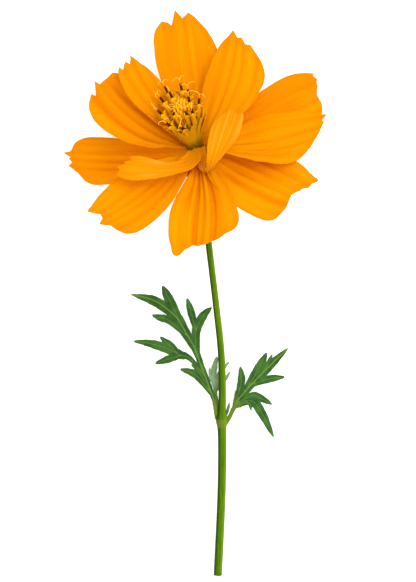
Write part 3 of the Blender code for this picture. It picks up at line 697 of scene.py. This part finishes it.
# Rings of a floret: (share of its height, radius, how far its five points reach out).
FLORET_RINGS = (
    (0.0, 0.22, 0), (0.06, 0.3, 0), (0.2, 0.32, 0), (0.3, 0.28, 0), (0.45, 0.34, 0), (0.55, 0.44, 0),
    (0.65, 0.5, 0), (0.73, 0.54, 0), (0.765, 0.56, 0.3), (0.81, 0.54, 0.75), (0.84, 0.52, 1.2),
    (0.83, 0.5, 0.8), (0.8, 0.48, 0.35), (0.76, 0.44, 0.05), (0.7, 0.34, 0), (0.72, 0.27, 0),
    (0.8, 0.3, 0), (0.915, 0.3, 0), (0.945, 0.25, 0.06), (0.97, 0.16, 0.06), (1.0, 0.05, 0))
FLORET_SIDES = 20
FLORET_LOBES = 5
STYLE_RADIUS = 0.075
STYLE_RINGS = 9
STYLE_SIDES = 6
STYLE_CURL = (2.2, 3.8)
STYLE_LENGTH = (1.5, 2.3)
STYLE_FOOT_DEPTH = 0.15


def floret_axis(foot_radius, top, share):
    angle, top_radius, top_height = top
    radius = foot_radius + (top_radius - foot_radius) * share**1.4
    return on_head(angle, radius, FLORET_BASE_HEIGHT + (top_height - FLORET_BASE_HEIGHT) * share)


def floret_finish():
    """Colours ring by ring: green ovary, yellow tube and lobes, brown anthers, orange top."""
    floret = Finish("floret_parts")
    along = floret.attribute("along")
    grain = floret.spots(floret.place(), 2400, 3)
    stops = (
        (0.0, dye(124, 128, 24)), (0.16, dye(206, 156, 14)), (0.28, dye(240, 172, 8)),
        (0.42, dye(248, 174, 4)), (0.5, dye(250, 186, 10)), (0.62, dye(240, 150, 2)),
        (0.7, dye(130, 60, 0)), (0.75, dye(70, 26, 0)), (0.87, dye(80, 30, 0)), (0.92, dye(222, 112, 4)),
        (1.0, dye(250, 160, 8)))
    colour = floret.node("ShaderNodeValToRGB", {"stops": stops}, {"Fac": along})
    yellow = floret.between(along, 0.7, 0.62)
    colour = floret.mix(floret.between(grain, 0.4, 0.75) * yellow * 0.3, colour, dye(252, 176, 20))
    bump = floret.bump(grain, 0.00005)
    return floret.close(colour, 0.55, bump, dye(250, 160, 6), yellow * 0.15, Specular_IOR_Level=0.05)


def style_finish():
    """Pale yellow down."""
    style = Finish("style_down")
    down = style.spots(style.place(), 5200, 2)
    colour = style.mix(style.between(down, 0.35, 0.7), dye(250, 186, 40), dye(252, 206, 84))
    return style.close(colour, 0.6, style.bump(down, 0.00004), Specular_IOR_Level=0.1)


def grow_style(bm, top, axis, outward, curl, length):
    """One arm of a style: it rises from the anthers and curls outward and back."""
    first_face = len(bm.faces)
    centres = []
    for i in range(STYLE_RINGS):
        share = i / (STYLE_RINGS - 1)
        turn = curl * share
        reach = length / curl
        centres.append(top + axis * reach * math.sin(turn) + outward * reach * (1 - math.cos(turn)))
    radii = [STYLE_RADIUS * (1 - 0.5 * i / (STYLE_RINGS - 1)) for i in range(STYLE_RINGS)]
    sweep(bm, centres, radii, STYLE_SIDES)
    bm.faces.ensure_lookup_table()
    for face in bm.faces[first_face:]:
        face.material_index = 1


floret_parts = floret_finish()
style_down = style_finish()
random.seed(11)
floret_tops = [(OUTER_FLORET_BASE, top) for top in OUTER_FLORETS]
floret_tops += [(INNER_FLORET_BASE, top) for top in INNER_FLORETS]
for number, (foot_radius, top) in enumerate(floret_tops, 1):
    bm = bmesh.new()
    centres = [floret_axis(foot_radius, top, share) for share, _, _ in FLORET_RINGS]
    sweep(bm, centres, [radius for _, radius, _ in FLORET_RINGS], FLORET_SIDES, FLORET_LOBES,
          [reach for _, _, reach in FLORET_RINGS])
    axis = (centres[-1] - centres[-5]).normalized()
    outward = axis.orthogonal()
    outward.rotate(Matrix.Rotation(random.uniform(0, math.tau), 3, axis))
    style_foot = centres[-1] - axis * STYLE_FOOT_DEPTH
    for arm in (outward, -outward):
        grow_style(bm, style_foot, axis, arm, random.uniform(*STYLE_CURL), random.uniform(*STYLE_LENGTH))
    finish_piece(
        bm, f"open_floret_{number:02d}", [floret_parts, style_down], f"disc_floret_{number:02d}")


# Chaff. Thin pointed straps grow from the receptacle and stand close together round the disc's
# florets as a cup: olive where they start, and yellow and half clear above.
CHAFF_COUNT = 22
CHAFF_PATH = ((1.8, 0.9), (2.4, 4.4), (3.8, 7.4), (5.2, 9.8))
CHAFF_OUTLINE = ((0, 0.62), (0.3, 0.9), (0.6, 1.0), (0.85, 0.6), (1, 0.08))
CHAFF_HALF_WIDTH = 0.8
CHAFF_THICKNESS = 0.1
CHAFF_SCATTER = 5
CHAFF_STRETCH = (0.85, 1.1)
CHAFF_STEPS = (6, 18)


def chaff_finish():
    """Yellow strap with fine fibres along it and an olive foot."""
    strap = Finish("chaff_strap")
    fibres = strap.spots(strap.stretched(strap.node("ShaderNodeUVMap"), (14, 1.5, 1)), 1.0, 2)
    colour = strap.mix(strap.between(fibres, 0.35, 0.7), dye(212, 160, 2), dye(232, 178, 10))
    colour = strap.mix(strap.between(blade_place(strap, "Y"), 0.42, 0.1) * 0.9, colour, dye(110, 96, 0))
    bump = strap.bump(fibres, 0.00006)
    return strap.close(colour, 0.5, bump, dye(220, 150, 0), 0.25, Specular_IOR_Level=0.2)


bm = bmesh.new()
for number in range(CHAFF_COUNT):
    angle = 360 * number / CHAFF_COUNT + random.uniform(-CHAFF_SCATTER, CHAFF_SCATTER)
    stretch = random.uniform(*CHAFF_STRETCH)
    strap_blade = dict(
        rib=[on_head(angle, radius, height * stretch) for radius, height in CHAFF_PATH],
        face=on_head(angle, -1, 0) - HEAD_CENTRE, half_width=(CHAFF_HALF_WIDTH, CHAFF_HALF_WIDTH),
        trough=(30, 20), outline=CHAFF_OUTLINE, tip=((-1, 0.97), (0, 1), (1, 0.97)))
    grow_blade(strap_blade, *CHAFF_STEPS, scale_relief, bm)
thicken(finish_piece(bm, "chaff_straps", [chaff_finish()]), CHAFF_THICKNESS)


# Closed florets. The youngest florets at the middle of the disc stand together as a low dome:
# slim yellow tubes whose five lobes are still shut in a blunt, ribbed tip with a brown fleck.
BUD_DOME = (60, 0.8, 13.5)
BUD_COUNT = 44
BUD_SPREAD = 2.7
BUD_DROP = 2.6
BUD_RINGS = (
    (0, 0.16), (0.4, 0.17), (0.7, 0.2), (0.86, 0.3), (0.93, 0.36), (0.97, 0.3), (0.99, 0.17), (1, 0.03))
BUD_SIDES = 10
BUD_RIDGE = 0.08
BUD_TURN = math.radians(137.5)
# From this share of the dome's radius outward, every second one already shows a style.
BUD_STYLE_START = 0.55
BUD_STYLE_CURL = (2, 3.6)
BUD_STYLE_LENGTH = 1.5
BUD_STYLE_FOOT_DEPTH = 0.1


def bud_finish():
    """Olive foot, yellow tube and a brownish tip."""
    bud = Finish("bud_tube")
    along = bud.attribute("along")
    grain = bud.spots(bud.place(), 1900, 3)
    stops = (
        (0.0, dye(150, 130, 24)), (0.4, dye(230, 150, 6)), (0.62, dye(248, 174, 8)),
        (0.8, dye(252, 190, 14)), (0.92, dye(244, 160, 4)), (1.0, dye(196, 104, 4)))
    colour = bud.node("ShaderNodeValToRGB", {"stops": stops}, {"Fac": along})
    colour = bud.mix(bud.between(grain, 0.55, 0.75) * 0.5, colour, dye(220, 130, 6))
    return bud.close(colour, 0.5, bud.bump(grain, 0.00006), dye(250, 160, 6), 0.15, Specular_IOR_Level=0.15)


bm = bmesh.new()
for number in range(BUD_COUNT):
    share = math.sqrt((number + 0.5) / BUD_COUNT)
    turn = number * BUD_TURN
    offset = (HEAD_RIGHT * math.cos(turn) + HEAD_BACK * math.sin(turn)) * BUD_SPREAD * share
    centres = []
    for rise, _ in BUD_RINGS:
        drop = HEAD_AXIS * (BUD_DROP * share * share * rise)
        centres.append(floret_axis(0, BUD_DOME, rise) + offset * (0.3 + 0.7 * rise) - drop)
    sweep(bm, centres, [radius for _, radius in BUD_RINGS], BUD_SIDES, FLORET_LOBES, ridge=BUD_RIDGE)
    if share > BUD_STYLE_START and number % 2:
        style_foot = centres[-1] - HEAD_AXIS * BUD_STYLE_FOOT_DEPTH
        curl = random.uniform(*BUD_STYLE_CURL)
        grow_style(bm, style_foot, HEAD_AXIS, offset.normalized(), curl, BUD_STYLE_LENGTH)
finish_piece(bm, "closed_florets", [bud_finish(), style_down], "disc_buds")


# Leaves. Two divided leaves stand opposite at the node: a flat petiole widens into a winged rachis
# with toothed lobes, each with a pale vein that is grooved above. The blade is thin and a little folded.
LEAF_GRAIN = 0.34
LEAF_THICKNESS = 0.5
LEAF_THIN_SHARE = 0.4
LEAF_FOLD = 0.16
LEAF_RIPPLE = 0.25
PETIOLE_RANGE = (3, 9)
VEIN_WIDTH = 0.16
VEIN_GROOVE = 0.12
SIDE_VEIN_SHARE = 0.65
TOOTH_SPACING = 2.1
TOOTH_HEIGHT = 0.09
LOBE = ((0, 0.5, 0.5), (0.35, 0.75, 0.75), (0.6, 0.8, 0.8), (0.85, 0.45, 0.45), (1, 0, 0))
BROAD_LOBE = ((0, 0.8, 0.9), (0.35, 1.0, 1.0), (0.65, 0.95, 0.95), (0.87, 0.55, 0.55), (1, 0, 0))
TOOTH = ((0, 0.45, 0.45), (0.5, 0.35, 0.35), (1, 0, 0))
# A branch is (points of its vein, widths as (place, left, right), side branches), and a side branch
# is (place along its parent, the rest of its vein, widths, side branches).
LEFT_LEAF = (
    ((5.5, -30.1), (4.95, -28.2), (4.4, -24.9), (3.1, -21.1), (1.5, -17.0), (-0.2, -12.5), (-2.6, -8.3),
     (-4.7, -5.2), (-9.3, -1.8), (-15.0, -0.2)),
    ((0, 0.45, 0.45), (0.125, 0.36, 0.36), (0.25, 0.4, 0.45), (0.375, 0.5, 0.6), (0.5, 0.6, 0.75),
     (0.625, 1.1, 0.9), (0.75, 1.1, 1.2), (0.82, 1.1, 1.1), (0.9, 1.1, 1.0), (0.95, 0.7, 0.6), (1, 0, 0)),
    ((0.69, ((-5.1, -3.2), (-6.5, -0.5), (-7.6, 1.8)), BROAD_LOBE, ()),
     (0.61, ((-5.9, -6.4), (-8.0, -5.7), (-10.0, -5.1)), LOBE, ()),
     (0.53, ((0.2, -9.2), (0.9, -6.9), (2.2, -4.8), (3.9, -3.2)), BROAD_LOBE, (
         (0.28, ((-0.5, -5.9), (-1.2, -3.4), (-1.9, -1.1)), LOBE, ()),)),
     (0.385, ((-1.2, -15.1), (-3.6, -14.2), (-6.9, -12.6), (-10.6, -11.6), (-14.4, -11.1)),
      ((0, 0.35, 0.35), (0.2, 0.55, 0.6), (0.45, 1.0, 1.1), (0.7, 1.0, 1.0), (0.9, 0.5, 0.5), (1, 0, 0)), (
          (0.42, ((-5.5, -12.3), (-8.2, -10.0)), LOBE, ()),
          (0.36, ((-5.8, -15.1), (-9.3, -16.3)), LOBE, ()))),
     (0.27, ((0.2, -18.9), (-3.5, -17.5)), LOBE, ()),
     (0.31, ((0.4, -17.6), (-0.9, -16.4)), TOOTH, ())))
RIGHT_LEAF = (
    ((7.0, -30.2), (7.9, -28.7), (8.9, -26.7), (10.2, -24.4), (13.2, -21.0), (15.5, -18.7), (17.8, -16.4),
     (21.8, -12.6)),
    ((0, 0.45, 0.5), (0.16, 0.38, 0.4), (0.33, 0.48, 0.55), (0.5, 0.75, 0.8), (0.67, 0.95, 0.9),
     (0.82, 1.0, 0.95), (0.93, 0.65, 0.6), (1, 0, 0)),
    ((0.34, ((10.7, -20.6), (10.5, -16.9)), LOBE, ()),
     (0.5, ((14.5, -17.9), (16.7, -13.7)), BROAD_LOBE, ()),
     (0.7, ((17.2, -15.7), (18.0, -14.1)), TOOTH, ()),
     (0.56, ((16.9, -19.9), (20.9, -19.4)), LOBE, ()),
     (0.355, ((13.2, -23.7), (15.6, -24.5), (17.9, -25.8)), LOBE, ()),
     (0.35, ((13.1, -24.9), (15.6, -28.0), (18.3, -33.5)), BROAD_LOBE, ()),
     (0.34, ((12.4, -25.4), (13.0, -27.2)), TOOTH, ()),
     (0.3, ((10.3, -25.0), (10.3, -26.1)), TOOTH, ())))
# Per leaf: its branch, the height of its foot, its slope, and its bend with the square of the distance.
LEAF_TILT = {"leaf_left": (LEFT_LEAF, 4.9, 0.16, -0.006), "leaf_right": (RIGHT_LEAF, 4.9, 0.10, -0.010)}


def sided_value(widths, place, side):
    return profile_value([(row[0], row[side]) for row in widths], place)


def leaf_branches(branch, root=None):
    """Every branch of a leaf, as a list of (points of its vein, points of its outline)."""
    path, widths, side_branches = branch
    if root:
        path = (root, *path)
    length = sum((Vector(b) - Vector(a)).length for a, b in zip(path, path[1:]))
    count = max(int(length / LEAF_GRAIN), 6)
    vein = []
    left = []
    right = []
    for i in range(count + 1):
        place = i / count
        here = path_point(path, place)
        ahead = path_point(path, min(place + 0.01, 1)) - path_point(path, max(place - 0.01, 0))
        across = Vector((-ahead.y, ahead.x)).normalized()
        tooth = TOOTH_HEIGHT * (place * length / TOOTH_SPACING % 1) if 0.25 < place < 0.97 else 0
        vein.append(here)
        left.append(here + across * (sided_value(widths, place, 1) + tooth))
        right.append(here - across * (sided_value(widths, place, 2) + tooth))
    found = [(vein, left + right[-2::-1])]
    for place, side_path, side_widths, more in side_branches:
        found += leaf_branches((side_path, side_widths, more), tuple(path_point(path, place)))
    return found


def vein_distance(point, veins):
    """Distance of a point from the nearest vein."""
    nearest = 1e9
    for vein in veins:
        for a, b in zip(vein, vein[1:]):
            run = b - a
            share = min(max((point - a).dot(run) / run.length_squared, 0), 1)
            nearest = min(nearest, (point - a - run * share).length)
    return nearest


def grow_leaf(branch, lift, slope, bend):
    """The union of a leaf's branches, filled with an even grain of points so that it can be folded
    at its veins, and bent upward and over from its foot."""
    branches = leaf_branches(branch)
    points = []
    outlines = []
    for _, outline in branches:
        outlines.append(list(range(len(points), len(points) + len(outline))))
        points += outline
    creases = []
    for vein, _ in branches:
        creases += [(len(points) + i, len(points) + i + 1) for i in range(len(vein) - 2)]
        points += vein[:-1]
    low = [min(point[axis] for point in points) for axis in (0, 1)]
    high = [max(point[axis] for point in points) for axis in (0, 1)]
    for row in range(int((high[1] - low[1]) / LEAF_GRAIN)):
        for column in range(int((high[0] - low[0]) / LEAF_GRAIN)):
            points.append(Vector((low[0] + (column + row % 2 / 2) * LEAF_GRAIN, low[1] + row * LEAF_GRAIN)))
    points, _, faces, *_ = delaunay_2d_cdt(points, creases, outlines, 1, 0.01)
    veins = [vein for vein, _ in branches]
    foot = Vector(branch[0][0])
    bm = bmesh.new()
    vein_layer = vert_layer(bm, "vein")
    petiole_layer = vert_layer(bm, "petiole")
    weights = bm.verts.layers.deform.new()
    for point in points:
        bm.verts.new((*point, 0))
    bm.verts.ensure_lookup_table()
    for face in faces:
        bm.faces.new([bm.verts[i] for i in face])
    bmesh.ops.delete(bm, geom=[vert for vert in bm.verts if not vert.link_faces], context="VERTS")
    for vert in bm.verts:
        point = vert.co.xy
        distance = (point - foot).length
        from_vein = vein_distance(point, veins)
        groove = math.exp(-(from_vein / VEIN_WIDTH)**2)
        from_rachis = vein_distance(point, veins[:1])
        vert[vein_layer] = max(SIDE_VEIN_SHARE * groove, math.exp(-(from_rachis / VEIN_WIDTH)**2))
        petiole = 1 - smooth_step(*PETIOLE_RANGE, distance)
        vert[petiole_layer] = petiole
        vert[weights][0] = max(0.35 * groove, petiole)
        rise = LEAF_FOLD * from_vein * (1 - petiole) - VEIN_GROOVE * groove
        ripple = LEAF_RIPPLE * noise.noise(Vector((*point, 3)) * 0.35)
        vert.co.z = lift + slope * distance + bend * distance * distance + rise + ripple * (1 - petiole)
    bmesh.ops.scale(bm, vec=(MM, MM, MM), verts=bm.verts)
    return bm


def leaf_finish(name, dark, light, vein_colour, petiole_colour):
    """Leaf green, mottled by its cells, with pale veins and a yellower petiole."""
    leaf = Finish(name)
    place = leaf.place()
    vein = leaf.attribute("vein")
    mottle = leaf.spots(place, 420, 3)
    cells = leaf.spots(place, 2300, 3)
    colour = leaf.mix(leaf.between(mottle, 0.35, 0.65), dark, light)
    colour = leaf.mix(leaf.between(cells, 0.5, 0.8) * 0.3, colour, dye(76, 118, 48))
    colour = leaf.mix(leaf.between(vein, 0.2, 1.0) * 0.8, colour, vein_colour)
    colour = leaf.mix(leaf.between(leaf.attribute("petiole"), 0.3, 0.95) * 0.8, colour, petiole_colour)
    normal = leaf.bump(cells + mottle * 0.5 - vein * 0.6, 0.00009, 0.8)
    return leaf.close(colour, 0.55 + cells * 0.12, normal, dye(76, 130, 14), 0.15, Specular_IOR_Level=0.15)


def finish_leaf(bm, name, material, node):
    """Gives the leaf its thickness: full at the veins and petiole, and thin between them."""
    piece = finish_piece(bm, name, [material], node)
    piece.vertex_groups.new(name="thick")
    thicken(piece, LEAF_THICKNESS, -1)
    piece.modifiers["thickness"].vertex_group = "thick"
    piece.modifiers["thickness"].thickness_vertex_group = LEAF_THIN_SHARE


leaf_green = leaf_finish(
    "leaf_green", dye(36, 78, 22), dye(56, 102, 34), dye(116, 148, 56), dye(100, 122, 22))
for node, tilt in LEAF_TILT.items():
    finish_leaf(grow_leaf(*tilt), node.replace("leaf", "divided_leaf"), leaf_green, node)


# Axillary shoot. A young shoot sits in the angle between leaf and stalk: a small, very pale divided
# leaf behind the stalk, the thread-like tip of a second one, and a dark, still closed bud.
YOUNG_LEAF = (
    ((5.3, -27.4), (4.7, -22.8), (4.35, -18.4), (5.1, -14.6)),
    ((0, 0.3, 0.3), (0.3, 0.3, 0.3), (0.5, 0.5, 0.5), (0.75, 0.66, 0.66), (0.9, 0.4, 0.4), (1, 0, 0)),
    ((0.42, ((3.7, -19.4), (3.3, -17.1)), TOOTH, ()),
     (0.36, ((5.3, -20.6), (5.6, -18.4)), TOOTH, ()),
     (0.5, ((6.4, -17.6), (8.0, -15.9)), TOOTH, ()),
     (0.34, ((6.8, -20.2), (8.2, -18.1)), TOOTH, ())))
SHOOT_TIP = (
    ((8.75, -26.2), (9.15, -24.6), (9.35, -22.3)), ((0, 0.16, 0.16), (0.5, 0.24, 0.24), (1, 0, 0)),
    ((0.5, ((9.5, -23.8), (9.75, -23.2)), ((0, 0.14, 0.14), (1, 0, 0)), ()),))
YOUNG_TILT = {
    "axillary_leaf": (YOUNG_LEAF, 3.1, 0.05, 0.0), "axillary_shoot_tip": (SHOOT_TIP, 6.4, 0.05, 0.0)}
SIDE_BUD_PATH = ((7.3, -28.2, 5.0), (7.65, -26.7, 5.3), (7.95, -25.2, 5.6))
SIDE_BUD_RADII = ((0, 0.16), (0.3, 0.3), (0.7, 0.26), (1, 0.06))
SIDE_BUD_RINGS = 16
SIDE_BUD_SIDES = 14

young_green = leaf_finish(
    "young_green", dye(118, 152, 104), dye(146, 176, 132), dye(160, 188, 140), dye(96, 128, 40))
for node, tilt in YOUNG_TILT.items():
    young_finish = young_green if node == "axillary_leaf" else leaf_green
    finish_leaf(grow_leaf(*tilt), node.replace("axillary", "young"), young_finish, node)
bm = bmesh.new()
bud_places = [i / (SIDE_BUD_RINGS - 1) for i in range(SIDE_BUD_RINGS)]
sweep(bm, [path_point(SIDE_BUD_PATH, place) for place in bud_places],
      [profile_value(SIDE_BUD_RADII, place) for place in bud_places],
      SIDE_BUD_SIDES, FLORET_LOBES, ridge=BUD_RIDGE)
finish_piece(bm, "young_bud", [bract_green], "axillary_bud")


# Table, light and camera. The flower lies on a white light table under a broad soft lamp a little
# to the right of the lens and an even white room. The camera looks straight down at it.
TABLE_SIZE = 3.0
TABLE_GLOW = 0.4
CAMERA_PLACE = (0.003, 0.0005, 0.566)
LENS = 150
LAMP_PLACE = Vector((0.17, 0.14, 0.52))
LAMP_SIZE = 0.3
LAMP_POWER = 1.9
ROOM_LIGHT = 1.25

bm = bmesh.new()
bmesh.ops.create_grid(bm, x_segments=1, y_segments=1, size=TABLE_SIZE / 2)
table_mesh = bpy.data.meshes.new("table_top")
bm.to_mesh(table_mesh)
bm.free()
table_top = put_in_scene("table_top", table_mesh)
card = Finish("white_card")
card_grain = card.spots(card.place(), 60, 2)
card_white = card.mix(card_grain, dye(244, 244, 244), dye(248, 248, 248))
card_glow = {"Emission_Color": (1, 1, 1, 1), "Emission_Strength": TABLE_GLOW}
table_mesh.materials.append(card.close(card_white, 0.9, **card_glow))

lamp = put_in_scene("lamp", bpy.data.lights.new("lamp", "AREA"))
lamp.data.energy = LAMP_POWER
lamp.data.size = LAMP_SIZE
lamp.location = LAMP_PLACE
lamp.rotation_mode = "QUATERNION"
lamp.rotation_quaternion = (-LAMP_PLACE).to_track_quat("-Z", "Y")

room = bpy.data.worlds.new("room")
room.use_nodes = True
background = room.node_tree.nodes["Background"]
background.inputs["Color"].default_value = (1, 1, 1, 1)
background.inputs["Strength"].default_value = ROOM_LIGHT
bpy.context.scene.world = room
bpy.context.scene.view_settings.view_transform = "Standard"

camera = put_in_scene("camera", bpy.data.cameras.new("camera"))
camera.data.lens = LENS
camera.location = CAMERA_PLACE
bpy.context.scene.camera = camera
